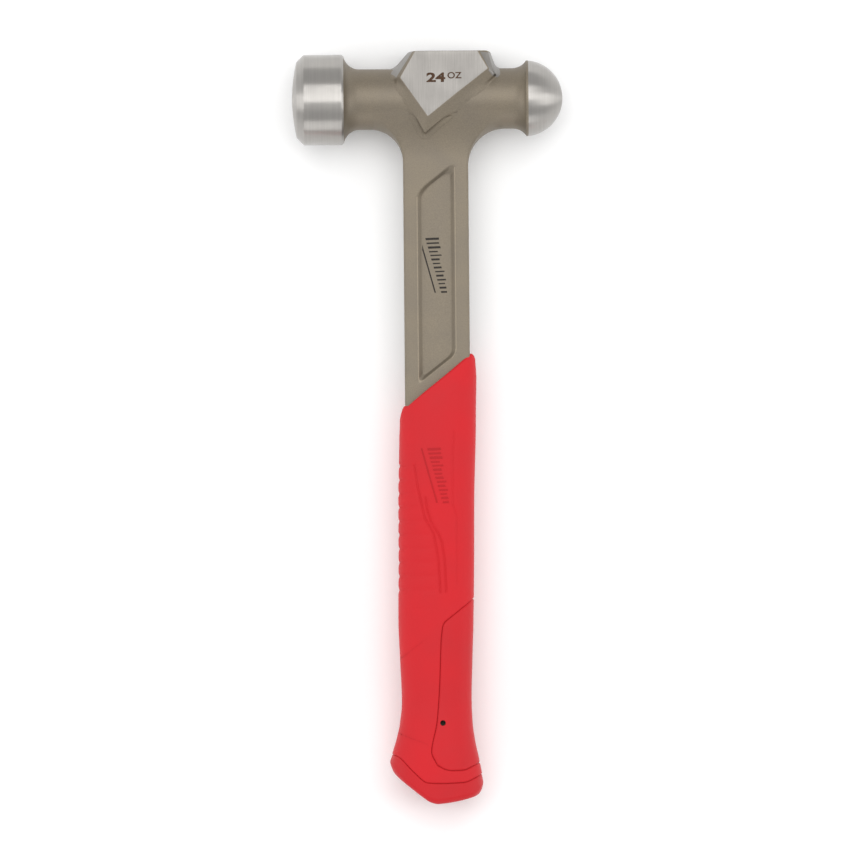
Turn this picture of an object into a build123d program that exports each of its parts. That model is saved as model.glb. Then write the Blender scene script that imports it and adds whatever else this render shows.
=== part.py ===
"""Ball peen hammer: one steel forging carrying a layered, moulded grip.

The hammer lies on its side. +Y runs up the handle to the head, -X is the striking
face's side, +X the ball's side, and Z is the thickness. The origin is the middle of
the box's underside. All sizes are millimetres.

Sketches are drawn in the forging's own frame, whose zero is where the head's axis
crosses the handle's centre line. "Down" is a distance from there towards the butt.
"""

import os
from math import cos, radians, sin, sqrt, tan

from build123d import *

os.makedirs("parts", exist_ok=True)

# ---- Head, measured along its axis from the handle's centre line ----
poll_reach = 61.8  # to the crown of the striking face
poll_radius = 19.5
poll_back = 39.5  # to the back edge of the turned poll
crown_radius = 71.0  # the striking face's slight dome
face_chamfer = 3.1
poll_back_chamfer = 0.8
neck_radius = 13.1
neck_flare = 7.0  # concave radius from a neck out to the poll and to the ball
ball_reach = 55.1  # to the tip of the ball
ball_radius = 16.4
ball_turned = 1.6  # turned surface beyond the ball's widest circle
ball_skirt = 0.8  # forged cylinder behind the turned surface

# ---- Central block with its raised cheek pads ----
head_top = 20.6  # flat top of the block above the head's axis
pad_half = 14.75  # cheek pad's flat from the mid plane
pad_bevel_drop = 2.2
# Corners in order: top at the poll's side, shoulder, lowest, ball's shoulder, top at the
# ball's side. The top corners all stand at head_top.
pad_corners = [(-8.7, head_top), (-15.2, 9.2), (-3.3, -7.8), (23.1, 12.9), (18.6, head_top)]
bevel_corners = [(-9.5, head_top), (-17.2, 8.4), (-4.6, -14.9), (25.8, 9.9), (22.9, head_top)]
root_corners = [(-11.2, head_top), (-19.3, 11.3), (-5.0, -16.2), (27.2, 11.2), (23.8, head_top)]

# ---- Shank and tang ----
shank_half_width = 14.1
shank_half_thick = 7.0
shank_edge_round = 1.0
poll_side_throat = 14.1  # radius under the head at the poll's side
ball_side_throat = 16.0
ramp_start = 26.0  # down to where the shank starts to thicken into the head
throat_sunk = 0.2  # throats and thickening start this far inside the necks
slant_deg = 38.0  # slope of the pocket's ends and of the grip's top edge
pocket_top = 33.8  # down to the pocket's upper end on the centre line
pocket_half_width = 8.2
pocket_depth = 2.0
pocket_wall_deg = 45.0
pocket_above_grip = 5.2
grip_start = 122.0  # down to the grip's top edge on the centre line
grip_length = 182.5
collar_length = 14.0  # shank's full section carried inside the grip below grip_start
shoulder_length = 14.0  # taper from the shank to the tang
tang_half_width = 8.5
tang_half_thick = 4.5
tang_offset = -1.5  # tang's centre line, towards the poll's side
tang_end_gap = 28.5  # from the tang's end to the butt's lowest point
keying_hole_radius = 3.6
keying_hole_down = (190.0, 238.0)

# ---- Grip ----
isolator_wall = 1.2
overmould_wall = 3.0
core_start = 19.2  # below grip_start
core_end = 8.0  # above the butt's lowest point, where the cap's seam trims it
panel_pin_radius = 1.2
panel_pin_at = (1.1, 35.0)  # beside the centre line, and above the butt's lowest point
spigot_length = 8.0
spigot_sunk = 1.5  # spigot's root carried into the cap
spigot_half_width = 6.5
spigot_half_thick = 5.0
butt_edge_round = 2.0

# Grip sections: height above the butt's lowest point, poll-side and ball-side reach from
# the centre line, thickness, corner radius.
grip_sections = [
    (199.5, -16.6, 16.9, 19.6, 7.0),
    (168.0, -17.0, 16.5, 21.5, 7.5),
    (131.5, -17.4, 15.5, 24.0, 8.5),
    (79.5, -17.8, 14.7, 25.0, 9.0),
    (44.5, -16.6, 13.6, 24.5, 9.0),
    (27.5, -19.2, 14.9, 26.5, 9.5),
    (17.0, -22.2, 16.9, 28.4, 10.0),
    (-2.0, -23.5, 18.4, 28.4, 10.0),
]
# Butt's end, seen from the side of the head: a rounded lowest point, with a straight rise
# to the heel on the poll's side and a flatter one to the toe on the ball's side.
butt_low_x = -1.3
butt_round = 8.0
heel_rise_deg = 37.0
toe_rise_deg = 10.5
heel_corner = (-22.1, 18.9)  # beside the centre line, and above the lowest point
heel_low_x = -18.6
toe_x = 18.3
toe_round = 4.5
# Seam between the overmould and the butt cap, in the same measure.
cap_seam = [(-18.9, 21.2), (-5.6, 9.0), (10.0, 9.3), (16.5, 12.1)]
# Window in the overmould where the core's palm panel shows, open towards the ball's side.
panel_window = [
    (12.7, 86.7),
    (1.3, 77.8),
    (-0.1, 53.2),
    (-1.4, 35.9),
    (-4.4, 21.4),
    (-3.6, 18.2),
    (1.9, 14.5),
    (10.0, 14.6),
    (13.8, 16.2),
]
clear = 30.0  # how far cutting shapes run past the object

# ---- Places that follow from the sizes ----
butt_down = grip_start + grip_length
head_x = (poll_reach - ball_reach) / 2
head_y = (butt_down - head_top) / 2
head_point = (head_x, head_y, poll_radius)
plan = Plane(origin=head_point, x_dir=(1, 0, 0), z_dir=(0, 0, 1))
profile = Plane(origin=head_point, x_dir=(0, 1, 0), z_dir=(1, 0, 0))
head_axis = Axis(head_point, (1, 0, 0))
slant = tan(radians(slant_deg))
shank_end = -(grip_start + collar_length)
tang_start = shank_end - shoulder_length
tang_end = -(butt_down - tang_end_gap)
throat_root = neck_radius - throat_sunk
keying_holes = [(tang_offset, -down) for down in keying_hole_down]


def above_butt(points):
    """Points given above the butt's lowest point, in the forging's frame."""
    return [(x, rise - butt_down) for x, rise in points]


def grip_shape(inset, highest, lowest):
    """Smooth solid through the grip's sections, inset all round, trimmed to a stretch."""
    sections = []
    for rise, poll_side, ball_side, thickness, corner in grip_sections:
        centre = head_x + (poll_side + ball_side) / 2
        place = (centre, head_y - butt_down + rise, poll_radius)
        width = ball_side - poll_side - 2 * inset
        with BuildSketch(Plane(origin=place, x_dir=(1, 0, 0), z_dir=(0, 1, 0))) as section:
            RectangleRounded(width, thickness - 2 * inset, corner - inset)
        sections.append(section.sketch)
    with BuildPart() as shape:
        loft(sections=sections)
        with BuildSketch(plan):
            with Locations((0, (highest + lowest) / 2)):
                Rectangle(4 * clear, highest - lowest)
        extrude(amount=clear, both=True, mode=Mode.INTERSECT)
    return shape.part


# ---- Steel forging ----

# Shank, tang and the throats under the head, before the head is added.
with BuildPart() as shank_form:
    with BuildSketch(plan):
        with BuildLine():
            Polyline(
                (-shank_half_width, 0),
                (-shank_half_width, shank_end),
                (tang_offset - tang_half_width, tang_start),
                (tang_offset - tang_half_width, tang_end),
                (tang_offset + tang_half_width, tang_end),
                (tang_offset + tang_half_width, tang_start),
                (shank_half_width, shank_end),
                (shank_half_width, 0),
                close=True,
            )
        make_face()
    extrude(amount=clear, both=True)
    # The throats are turned about the head's axis, so they run smoothly out of the necks.
    throat_low = -(throat_root + ball_side_throat + 1)
    with BuildSketch(plan):
        with BuildLine():
            poll_side_start = (-shank_half_width - poll_side_throat, -throat_root)
            poll_side_end = (-shank_half_width, -throat_root - poll_side_throat)
            ball_side_start = (shank_half_width + ball_side_throat, -throat_root)
            ball_side_end = (shank_half_width, -throat_root - ball_side_throat)
            Line((poll_side_start[0], 0), poll_side_start)
            RadiusArc(poll_side_start, poll_side_end, poll_side_throat)
            Line(poll_side_end, (-shank_half_width, throat_low))
            Line((-shank_half_width, throat_low), (shank_half_width, throat_low))
            Line((shank_half_width, throat_low), ball_side_end)
            RadiusArc(ball_side_end, ball_side_start, ball_side_throat)
            Line(ball_side_start, (ball_side_start[0], 0))
            Line((ball_side_start[0], 0), (poll_side_start[0], 0))
        make_face()
    revolve(axis=head_axis)
    # Seen along the head, the shank's faces rise on an arc that meets the neck's circle.
    step = throat_root - shank_half_thick
    ramp_radius = (ramp_start**2 / step - (throat_root + shank_half_thick)) / 2
    ramp_share = throat_root / (throat_root + ramp_radius)
    ramp_top = (-ramp_start * ramp_share, (shank_half_thick + ramp_radius) * ramp_share)
    with BuildSketch(profile):
        with BuildLine():
            Line((0, 0), (0, ramp_top[1]))
            Line((0, ramp_top[1]), ramp_top)
            RadiusArc(ramp_top, (-ramp_start, shank_half_thick), ramp_radius)
            Line((-ramp_start, shank_half_thick), (shank_end, shank_half_thick))
            Line((shank_end, shank_half_thick), (tang_start, tang_half_thick))
            Line((tang_start, tang_half_thick), (tang_end, tang_half_thick))
            Line((tang_end, tang_half_thick), (tang_end, 0))
            Line((tang_end, 0), (0, 0))
        make_face()
        mirror(about=Plane.XZ)
    extrude(amount=2 * clear, both=True, mode=Mode.INTERSECT)

with BuildPart() as forged_hammer:
    # Turned head: crowned poll, necks and ball.
    with BuildSketch(plan):
        with BuildLine():
            rim_radius = poll_radius - face_chamfer
            crown_sag = crown_radius - sqrt(crown_radius**2 - rim_radius**2)
            rim = (-poll_reach + crown_sag, rim_radius)
            poll_edge = (rim[0] + face_chamfer, poll_radius)
            back_edge = (-poll_back - poll_back_chamfer, poll_radius)
            flare_edge = (-poll_back, poll_radius - poll_back_chamfer)
            flare_run = sqrt(neck_flare**2 - (neck_radius + neck_flare - flare_edge[1]) ** 2)
            poll_neck = (flare_edge[0] + flare_run, neck_radius)
            ball_x = ball_reach - ball_radius
            turned_edge = (ball_x + ball_turned, sqrt(ball_radius**2 - ball_turned**2))
            skirt_edge = (turned_edge[0] - ball_skirt, turned_edge[1])
            skirt_run = sqrt(neck_flare**2 - (neck_radius + neck_flare - skirt_edge[1]) ** 2)
            ball_neck = (skirt_edge[0] - skirt_run, neck_radius)
            RadiusArc((-poll_reach, 0), rim, crown_radius)
            Polyline(rim, poll_edge, back_edge, flare_edge)
            RadiusArc(flare_edge, poll_neck, -neck_flare)
            Line(poll_neck, ball_neck)
            RadiusArc(ball_neck, skirt_edge, -neck_flare)
            Line(skirt_edge, turned_edge)
            RadiusArc(turned_edge, (ball_reach, 0), ball_radius)
            Line((ball_reach, 0), (-poll_reach, 0))
        make_face()
    revolve(axis=head_axis)
    # Central block: a drafted root, then a bevel up to each cheek pad.
    bevel_half = pad_half - pad_bevel_drop
    levels = [
        (-pad_half, pad_corners),
        (-bevel_half, bevel_corners),
        (0, root_corners),
        (bevel_half, bevel_corners),
        (pad_half, pad_corners),
    ]
    for height, corners in levels:
        with BuildSketch(plan.offset(height)):
            with BuildLine():
                Polyline(*corners, close=True)
            make_face()
    loft(ruled=True)
    add(shank_form.part)
    side_edges = forged_hammer.edges().filter_by(
        lambda edge: abs(abs(edge.center().X - head_x) - shank_half_width) < shank_edge_round
    )
    fillet(side_edges.filter_by(Axis.Y), shank_edge_round)
    # Slanted pocket in each face, which leaves the shank an I section.
    for face in (plan.offset(shank_half_thick), plan.offset(-shank_half_thick)):
        outward = 1 if face.origin.Z > poll_radius else -1
        with BuildSketch(face):
            with BuildLine():
                end_rise = pocket_half_width * slant
                pocket_end = grip_start - pocket_above_grip
                Polyline(
                    (-pocket_half_width, -pocket_top - end_rise),
                    (pocket_half_width, -pocket_top + end_rise),
                    (pocket_half_width, -pocket_end + end_rise),
                    (-pocket_half_width, -pocket_end - end_rise),
                    close=True,
                )
            make_face()
        extrude(amount=-outward * pocket_depth, taper=pocket_wall_deg, mode=Mode.SUBTRACT)
    # Keying holes through the tang, which the moulded layer fills.
    with BuildSketch(plan):
        with Locations(*keying_holes):
            Circle(keying_hole_radius)
    extrude(amount=clear, both=True, mode=Mode.SUBTRACT)
forged_hammer.part.label = "forged_hammer"
export_step(forged_hammer.part, "parts/forged_hammer.step")

# ---- Shapes that the grip's layers share ----

with BuildPart() as grip_form:
    add(grip_shape(0, -grip_start + clear, -butt_down - clear))
    with BuildSketch(plan):
        with BuildLine():
            # Slanted top edge above, the butt's rounded outline below.
            heel_slope = radians(heel_rise_deg)
            toe_slope = radians(toe_rise_deg)
            butt_floor = -butt_down
            low = (butt_low_x, butt_floor)
            heel_tangent = (
                butt_low_x - butt_round * sin(heel_slope),
                butt_floor + butt_round * (1 - cos(heel_slope)),
            )
            toe_tangent = (
                butt_low_x + butt_round * sin(toe_slope),
                butt_floor + butt_round * (1 - cos(toe_slope)),
            )
            heel_low_y = heel_tangent[1] + (heel_tangent[0] - heel_low_x) * tan(heel_slope)
            heel = (heel_corner[0], butt_floor + heel_corner[1])
            toe_corner_y = toe_tangent[1] + (toe_x - toe_tangent[0]) * tan(toe_slope)
            edge_rise = 2 * clear * slant
            ThreePointArc(heel_tangent, low, toe_tangent)
            FilletPolyline(
                toe_tangent,
                (toe_x, toe_corner_y),
                (toe_x, heel[1]),
                radius=toe_round,
            )
            Polyline(
                (toe_x, heel[1]),
                (2 * clear, heel[1]),
                (2 * clear, -grip_start + edge_rise),
                (-2 * clear, -grip_start - edge_rise),
                (-2 * clear, heel[1]),
                heel,
                (heel_low_x, heel_low_y),
                heel_tangent,
            )
        make_face()
    extrude(amount=clear, both=True, mode=Mode.INTERSECT)
    butt_edges = grip_form.edges().filter_by(
        lambda edge: edge.center().Y < head_y + heel[1] and edge.geom_type != GeomType.LINE
    )
    fillet(butt_edges, butt_edge_round)

core_form = grip_shape(overmould_wall, -grip_start - core_start, -butt_down + core_end)

with BuildPart() as isolator_form:
    with BuildSketch(plan.offset(-tang_half_thick - isolator_wall)):
        with Locations((tang_offset, (tang_start + tang_end - isolator_wall) / 2)):
            Rectangle(
                2 * (tang_half_width + isolator_wall), tang_start - tang_end + isolator_wall
            )
    extrude(amount=2 * (tang_half_thick + isolator_wall))
    fillet(isolator_form.edges().filter_by(Axis.Y), isolator_wall)

with BuildPart() as window_form:
    with BuildSketch(plan):
        with BuildLine():
            window = above_butt(panel_window)
            Polyline(*window, (clear, window[-1][1]), (clear, window[0][1]), close=True)
        make_face()
    extrude(amount=clear, both=True)

with BuildPart() as cap_zone:
    with BuildSketch(plan):
        with BuildLine():
            seam = above_butt(cap_seam)
            Polyline(
                (-2 * clear, seam[0][1] + 1),
                *seam,
                (2 * clear, seam[-1][1] + 1),
                (2 * clear, -butt_down - clear),
                (-2 * clear, -butt_down - clear),
                close=True,
            )
        make_face()
    extrude(amount=clear, both=True)

# ---- Moulded layers, each the shape left between its neighbours ----

with BuildPart() as tang_isolator:
    add(isolator_form.part)
    add(forged_hammer.part, mode=Mode.SUBTRACT)
    with BuildSketch(plan):
        with Locations(*above_butt([panel_pin_at])):
            Circle(panel_pin_radius)
    extrude(amount=clear, both=True, mode=Mode.SUBTRACT)
tang_isolator.part.label = "tang_isolator"
export_step(tang_isolator.part, "parts/tang_isolator.step")

with BuildPart() as butt_cap:
    add(grip_form.part)
    add(cap_zone.part, mode=Mode.INTERSECT)
    with BuildSketch(plan.offset(-spigot_half_thick)):
        spigot_root = cap_seam[1][1] - butt_down
        with Locations((tang_offset, spigot_root + spigot_length / 2 - spigot_sunk / 2)):
            Rectangle(2 * spigot_half_width, spigot_length + spigot_sunk)
    extrude(amount=2 * spigot_half_thick)
butt_cap.part.label = "butt_cap"
export_step(butt_cap.part, "parts/butt_cap.step")

with BuildPart() as grip_core:
    add(grip_form.part)
    add(window_form.part, mode=Mode.INTERSECT)
    add(core_form)
    add(cap_zone.part, mode=Mode.SUBTRACT)
    add(butt_cap.part, mode=Mode.SUBTRACT)
    add(isolator_form.part, mode=Mode.SUBTRACT)
    add(forged_hammer.part, mode=Mode.SUBTRACT)
    with BuildSketch(plan):
        with Locations(*above_butt([panel_pin_at])):
            Circle(panel_pin_radius)
    extrude(amount=clear, both=True, mode=Mode.SUBTRACT)
grip_core.part.label = "grip_core"
export_step(grip_core.part, "parts/grip_core.step")

with BuildPart() as grip_overmould:
    add(grip_form.part)
    add(core_form, mode=Mode.SUBTRACT)
    add(window_form.part, mode=Mode.SUBTRACT)
    add(cap_zone.part, mode=Mode.SUBTRACT)
    add(forged_hammer.part, mode=Mode.SUBTRACT)
grip_overmould.part.label = "grip_overmould"
export_step(grip_overmould.part, "parts/grip_overmould.step")
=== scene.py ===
"""Ball peen hammer: a one-piece steel forging with a layered, moulded grip.

Every shape is a surface worked out on a grid of two parameters. Shapes are drawn in
millimetres in the forging's own frame, whose zero is where the head's axis crosses the
handle's centre line, with x towards the ball, y up the handle and z out of the cheek.
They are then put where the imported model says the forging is.
"""

import math
from types import SimpleNamespace

import bmesh
import bpy
import numpy as np
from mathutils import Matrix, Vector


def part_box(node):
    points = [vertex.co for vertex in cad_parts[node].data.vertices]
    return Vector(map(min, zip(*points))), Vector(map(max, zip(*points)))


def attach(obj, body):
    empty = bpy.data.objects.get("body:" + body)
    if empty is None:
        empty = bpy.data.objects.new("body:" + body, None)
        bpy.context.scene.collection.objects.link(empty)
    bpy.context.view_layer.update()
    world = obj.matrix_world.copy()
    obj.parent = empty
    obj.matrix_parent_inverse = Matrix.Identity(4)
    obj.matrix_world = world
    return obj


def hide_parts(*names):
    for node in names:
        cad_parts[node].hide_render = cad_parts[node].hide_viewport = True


bl_info = {
    "name": "Ball peen hammer",
    "version": (1, 0, 0),
    "blender": (4, 5, 0),
    "location": "View3D > Sidebar > Hammer",
    "description": "Builds a ball peen hammer with a moulded grip, piece by piece",
    "category": "Add Mesh",
}

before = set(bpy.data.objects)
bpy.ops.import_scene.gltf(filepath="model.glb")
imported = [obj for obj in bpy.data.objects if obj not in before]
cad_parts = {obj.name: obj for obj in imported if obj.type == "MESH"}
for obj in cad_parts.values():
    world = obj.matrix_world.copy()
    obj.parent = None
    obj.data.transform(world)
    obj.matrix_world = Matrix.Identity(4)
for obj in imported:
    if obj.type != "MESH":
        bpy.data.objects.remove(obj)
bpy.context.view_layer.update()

POLL_REACH = 61.8
HEAD_TOP = 20.6
steel_low, steel_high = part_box("forged_hammer")
zero_x, zero_y = 1000 * steel_low.x + POLL_REACH, 1000 * steel_high.y - HEAD_TOP
FORGING_ZERO = np.array((zero_x, zero_y, 500 * (steel_low.z + steel_high.z)))


# ---------------------------------------------------------------- sizes and colours


def linear_colour(hex_text):
    """sRGB hex to linear: c / 12.92 up to 0.04045, ((c + 0.055) / 1.055) ** 2.4 above."""
    srgb = np.array([int(hex_text[i : i + 2], 16) for i in (0, 2, 4)]) / 255
    linear = np.where(srgb <= 0.04045, srgb / 12.92, ((srgb + 0.055) / 1.055) ** 2.4)
    return tuple(float(c) for c in linear)


def length(name, description, millimetres):
    """A length property, held in metres and given here in millimetres."""
    default = millimetres / 1000
    return bpy.props.FloatProperty(
        name=name, description=description, default=default, min=0.0, subtype="DISTANCE", unit="LENGTH"
    )


def colour(name, description, hex_text):
    """A colour property, held linear and given here as sRGB hex."""
    default = linear_colour(hex_text)
    return bpy.props.FloatVectorProperty(
        name=name, description=description, default=default, min=0.0, max=1.0, size=3, subtype="COLOR"
    )


class HammerSizes(bpy.types.PropertyGroup):
    """Sizes of the forging and of the grip's moulded details."""

    poll_radius: length("Poll radius", "Radius of the turned striking poll", 19.5)
    neck_radius: length("Neck radius", "Radius of the round necks", 13.1)
    ball_radius: length("Ball radius", "Radius of the peening ball", 16.4)
    pad_half: length("Pad height", "Cheek flat's height above the mid plane", 14.75)
    shank_half_width: length("Shank half width", "Half the shank's width", 14.1)
    shank_half_thick: length("Shank half thickness", "Half the shank's thickness", 7.0)
    pocket_depth: length("Pocket depth", "Depth of the slanted pocket in each face", 2.0)
    rib_depth: length("Rib depth", "Depth of the grooves between the finger ribs", 0.45)
    rib_pitch: length("Rib pitch", "Distance from one finger rib to the next", 5.95)
    groove_depth: length("Groove depth", "Depth of the curved grooves on the grip", 0.55)
    seam_round: length("Seam rounding", "Edge radius where two moulded layers meet", 0.75)


class HammerColours(bpy.types.PropertyGroup):
    """Colours of the finishes."""

    coat: colour("Coat", "Champagne metallic coat on the forging", "797062")
    turned: colour("Turned steel", "Poll and ball, turned bright", "A8A5A1")
    ground: colour("Ground steel", "Cheek flats, ground flat", "8A8783")
    etch: colour("Etch", "Weight mark etched into the cheek", "3E2A1B")
    print_ink: colour("Print", "Ink of the mark in the pocket", "26221F")
    overmould: colour("Overmould", "Soft red skin of the grip", "C01A22")
    core: colour("Core", "Stiffer red body and palm panel", "BC1820")
    cap: colour("Butt cap", "Red cap that closes the butt", "BA1820")
    isolator: colour("Isolator", "Soft layer round the tang", "0A0909")
    floor: colour("Floor", "Plain pale floor", "F7F7F7")


def hammer_settings(scene):
    """The sizes as plain numbers in millimetres, and the colours."""
    names = HammerSizes.__annotations__
    sizes = {name: 1000 * getattr(scene.hammer_sizes, name) for name in names}
    return SimpleNamespace(**sizes), scene.hammer_colours


# ---------------------------------------------------------------- shape helpers


def smooth_curve(at, knots, values):
    """Cubic through the knots. A knot's slope is the harmonic mean of the slopes on its
    two sides, and zero where they differ in sign, so the curve never overshoots."""
    knots = np.asarray(knots, float)
    values = np.asarray(values, float)
    run = np.diff(knots)
    rise = np.diff(values) / run
    slope = np.zeros_like(values)
    turning = rise[:-1] * rise[1:] <= 0
    total = np.where(turning, 1.0, rise[:-1] + rise[1:])
    slope[1:-1] = np.where(turning, 0.0, 2 * rise[:-1] * rise[1:] / total)
    slope[0] = rise[0]
    slope[-1] = rise[-1]
    at = np.clip(at, knots[0], knots[-1])
    i = np.clip(np.searchsorted(knots, at) - 1, 0, len(run) - 1)
    t = (at - knots[i]) / run[i]
    return (
        values[i] * (1 + 2 * t) * (1 - t) ** 2
        + slope[i] * run[i] * t * (1 - t) ** 2
        + values[i + 1] * t**2 * (3 - 2 * t)
        + slope[i + 1] * run[i] * t**2 * (t - 1)
    )


def smooth_min(a, b, reach):
    """The lesser of two, less a parabola of height reach / 4 where they are equal."""
    near = np.clip(1 - np.abs(a - b) / reach, 0, 1)
    return np.minimum(a, b) - near**2 * reach / 4


def smooth_step(t):
    """3t^2 - 2t^3 between 0 and 1."""
    t = np.clip(t, 0, 1)
    return t * t * (3 - 2 * t)


def round_over(distance, radius):
    """Drop of a quarter circle: nothing at the radius from an edge, the radius at it."""
    short = np.clip(radius - distance, 0, radius)
    return radius - np.sqrt(np.clip(radius**2 - short**2, 0, None))


def arc(centre, radius, start_deg, end_deg, count):
    """Points on a circle at equal steps of angle."""
    angle = np.radians(np.linspace(start_deg, end_deg, count))
    return np.stack([centre[0] + radius * np.cos(angle), centre[1] + radius * np.sin(angle)], -1)


def unit(vectors):
    """Vectors of length 1 along the last axis."""
    return vectors / np.linalg.norm(vectors, axis=-1, keepdims=True)


def blend(a, b, t):
    """(1-t) a + t b."""
    return (1 - t) * a + t * b


def bend(a, corner, b, steps):
    """The curve (1-t)^2 A + 2t(1-t) P + t^2 B that leaves A and reaches B along the two
    sides of a corner P, in equal steps of t."""
    t = np.linspace(0, 1, steps)[:, None, None]
    return (1 - t) ** 2 * a + 2 * t * (1 - t) * corner + t**2 * b


def both_faces(front):
    """Rings made from half sections, by joining each to its mirror image in the mid
    plane, where both of its ends lie."""
    front = front.copy()
    front[:, 0, 2] = front[:, -1, 2] = 0
    back = front[:, ::-1][:, 1:-1] * (1, 1, -1)
    return np.concatenate([front, back], 1)


def close_ends(rings):
    """Rings with the first and the last drawn in to the mid plane, which closes them."""
    return np.concatenate([rings[:1] * (1, 1, 0), rings, rings[-1:] * (1, 1, 0)])


def cut_corners(corners, cut, steps, closed):
    """Each corner replaced by a bend between points a cut away along its two sides."""
    corners = np.asarray(corners, float)
    before = np.roll(corners, 1, 0)
    after = np.roll(corners, -1, 0)
    if not closed:
        before[0] = 2 * corners[0] - corners[1]
        after[-1] = 2 * corners[-1] - corners[-2]
    cut = np.broadcast_to(np.asarray(cut, float), (len(corners),))[:, None]
    a = corners + cut * unit(before - corners)
    b = corners + cut * unit(after - corners)
    return bend(a, corners, b, steps).transpose(1, 0, 2)


def line_distance(x, y, path):
    """Distance from every point to a run of straight pieces: the least over the pieces
    of the distance to the nearest point on each."""
    path = np.asarray(path, float)
    best = np.full(np.broadcast(x, y).shape, np.inf)
    for (ax, ay), (bx, by) in zip(path[:-1], path[1:]):
        dx, dy = bx - ax, by - ay
        t = np.clip(((x - ax) * dx + (y - ay) * dy) / (dx * dx + dy * dy), 0, 1)
        best = np.minimum(best, np.hypot(x - ax - t * dx, y - ay - t * dy))
    return best


def groove(distance, depth, half_width):
    """Round-bottomed groove: depth times exp(-(distance / half width)^2)."""
    return depth * np.exp(-((distance / half_width) ** 2))


# ---------------------------------------------------------------- mesh and pieces


def grid_quads(rows, columns, wrap_rows=False, wrap_columns=True):
    """Four corners of every cell of a grid, as one array."""
    index = np.arange(rows * columns).reshape(rows, columns)
    if wrap_rows:
        index = np.vstack([index, index[:1]])
    if wrap_columns:
        index = np.hstack([index, index[:, :1]])
    cells = [index[:-1, :-1], index[:-1, 1:], index[1:, 1:], index[1:, :-1]]
    return np.stack(cells, -1).reshape(-1, 4)


def shell(points, finish=None, wrap_rows=False):
    """A closed shell from a grid of points whose columns go round. finish gives the
    material number of each row of cells, or of each cell."""
    rows, columns = points.shape[:2]
    quads = grid_quads(rows, columns, wrap_rows)
    bands = rows if wrap_rows else rows - 1
    if finish is None:
        finish = np.zeros(bands, int)
    finish = np.broadcast_to(finish.reshape(bands, -1), (bands, columns))
    return points.reshape(-1, 3), quads, finish.ravel()


def link_object(name, data):
    """A new object with its data, in the scene."""
    item = bpy.data.objects.new(name, data)
    bpy.context.scene.collection.objects.link(item)
    return item


def make_piece(name, shells, materials, replaced=(), sharp_deg=40):
    """One object from closed shells. Points that coincide are merged, which closes
    seams and poles, and faces are turned outwards."""
    points, quads, finishes, start = [], [], [], 0
    for shell_points, shell_quads, shell_finish in shells:
        points.append(shell_points)
        quads.append(shell_quads + start)
        finishes.append(shell_finish)
        start += len(shell_points)
    place = (np.concatenate(points) + FORGING_ZERO) / 1000
    corners = np.concatenate(quads).astype(np.int32)
    mesh = bpy.data.meshes.new(name)
    mesh.vertices.add(len(place))
    mesh.vertices.foreach_set("co", place.astype(np.float32).ravel())
    mesh.loops.add(corners.size)
    mesh.loops.foreach_set("vertex_index", corners.ravel())
    mesh.polygons.add(len(corners))
    mesh.polygons.foreach_set("loop_start", np.arange(0, corners.size, 4, dtype=np.int32))
    mesh.polygons.foreach_set("material_index", np.concatenate(finishes).astype(np.int32))
    mesh.update(calc_edges=True)
    for material in materials:
        mesh.materials.append(material)
    piece = link_object(name, mesh)
    tidy_mesh(mesh, sharp_deg)
    settle(piece, replaced)
    return piece


def tidy_mesh(mesh, sharp_deg):
    """Merges doubles, turns faces outwards and shades smooth between sharp edges."""
    work = bmesh.new()
    work.from_mesh(mesh)
    bmesh.ops.remove_doubles(work, verts=work.verts, dist=2e-7)
    bmesh.ops.dissolve_degenerate(work, edges=work.edges, dist=1e-8)
    bmesh.ops.recalc_face_normals(work, faces=work.faces)
    work.to_mesh(mesh)
    work.free()
    mesh.polygons.foreach_set("use_smooth", np.ones(len(mesh.polygons), bool))
    mesh.set_sharp_from_angle(angle=math.radians(sharp_deg))
    mesh.update()


def settle(piece, replaced=()):
    """Puts a piece on the hammer's body and hides the imported parts that it stands in for."""
    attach(piece, "root")
    if replaced:
        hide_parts(*replaced)


# ---------------------------------------------------------------- materials


def set_sockets(node, values):
    """Sets a node's inputs to constant values, by name or number."""
    for key, value in values.items():
        node.inputs[key].default_value = value


def add_node(tree, kind, settings=(), values=(), links=()):
    """Adds a node, sets its properties and sockets, and links its inputs."""
    node = tree.nodes.new(kind)
    for key, value in dict(settings).items():
        setattr(node, key, value)
    set_sockets(node, dict(values))
    for key, source in dict(links).items():
        tree.links.new(source, node.inputs[key])
    return node


def vector_math(tree, operation, values, links):
    """Result of one sum on vectors."""
    settings = {"operation": operation}
    return add_node(tree, "ShaderNodeVectorMath", settings, values, links).outputs["Vector"]


def object_place(tree):
    """Object coordinates, in metres."""
    return add_node(tree, "ShaderNodeTexCoord").outputs["Object"]


def new_material(name):
    """A material, its node tree, its one Principled shader, and Object coordinates
    counted in millimetres."""
    material = bpy.data.materials.new(name)
    material.use_nodes = True
    tree = material.node_tree
    tree.nodes.clear()
    output = tree.nodes.new("ShaderNodeOutputMaterial")
    shader = tree.nodes.new("ShaderNodeBsdfPrincipled")
    tree.links.new(shader.outputs["BSDF"], output.inputs["Surface"])
    place = vector_math(tree, "SCALE", {"Scale": 1000.0}, {0: object_place(tree)})
    return material, tree, shader, place


def shade(base, factor):
    """A linear colour made lighter or darker, with its alpha."""
    return tuple(min(1.0, c * factor) for c in base) + (1.0,)


def noise(tree, place, size_mm, detail=2.0, stretch=(1.0, 1.0, 1.0)):
    """Noise whose grains are about size_mm across, stretched along an axis."""
    grains = {1: tuple(1 / (size_mm * s) for s in stretch)}
    scaled = vector_math(tree, "MULTIPLY", grains, {0: place})
    values = {"Scale": 1.0, "Detail": detail, "Roughness": 0.55}
    return add_node(tree, "ShaderNodeTexNoise", {}, values, {"Vector": scaled}).outputs["Fac"]


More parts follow.
